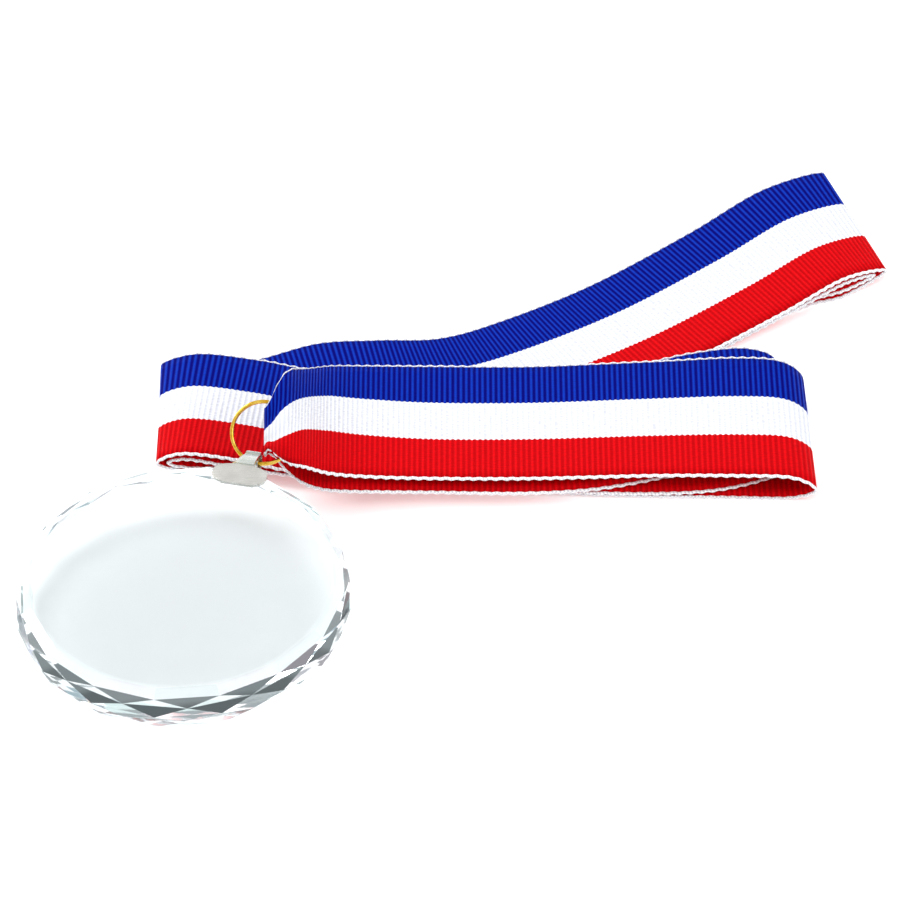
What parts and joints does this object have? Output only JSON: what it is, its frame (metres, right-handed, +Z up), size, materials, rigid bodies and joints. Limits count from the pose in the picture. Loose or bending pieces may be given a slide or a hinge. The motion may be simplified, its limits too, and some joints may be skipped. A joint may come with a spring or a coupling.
{
  "type": "sports finisher medal",
  "caption": "Faceted crystal medal disc hung by a glued metal bail and split ring on a folded three-stripe neck ribbon, ready for engraving or a printed insert.",
  "frame": {"origin": "point of the table under the middle of the crystal disc, which leans on its near edge", "axes": "+Z up from the table; +X along the folded ribbon's long runs; +Y from the disc towards the bail and the ribbon"},
  "size_m": [0.1604, 0.1599, 0.0214],
  "materials": {
    "crystal": "polished facets",
    "bail_metal": "plated, brushed lightly",
    "adhesive": "clear cured film",
    "ring_metal": "polished gold plating",
    "ribbon_weave": "grosgrain in blue, white and red stripes",
    "sewing_thread": "polyester thread"
  },
  "bodies": {
    "ribbon": {"ribbon_gather": "ribbon_weave", "ribbon_top_upper": "ribbon_weave", "ribbon_fold_right_outer": "ribbon_weave", "ribbon_middle_lower": "ribbon_weave", "ribbon_fold_left_inner": "ribbon_weave", "ribbon_bottom_upper": "ribbon_weave", "ribbon_fold_far_outer": "ribbon_weave", "ribbon_tuck_lower": "ribbon_weave", "ribbon_loop_end": "ribbon_weave", "ribbon_tuck_upper": "ribbon_weave", "ribbon_fold_far_inner": "ribbon_weave", "ribbon_bottom_lower": "ribbon_weave", "ribbon_fold_left_outer": "ribbon_weave", "ribbon_middle_upper": "ribbon_weave", "ribbon_fold_right_inner": "ribbon_weave", "ribbon_top_lower": "ribbon_weave", "seam_overlap": "ribbon_weave", "seam_stitches": "sewing_thread"},
    "ring": {"split_ring": "ring_metal"},
    "medal": {"crystal_disc": "crystal", "bail": "bail_metal", "adhesive_film": "adhesive"}
  },
  "joints": [
    {"name": "ring_swing", "type": "hinge", "parent": "ribbon", "child": "ring", "pos_m": [0.0189, 0.03684, 0.01372], "axis": [0, 0.7071, 0.7071], "range_deg": [0, 6]},
    {"name": "medal_swing", "type": "hinge", "parent": "ring", "child": "medal", "pos_m": [0.01138, 0.03305, 0.00993], "axis": [-0.9722, 0.2338, -0.0089], "range_deg": [0, 45]}
  ]
}
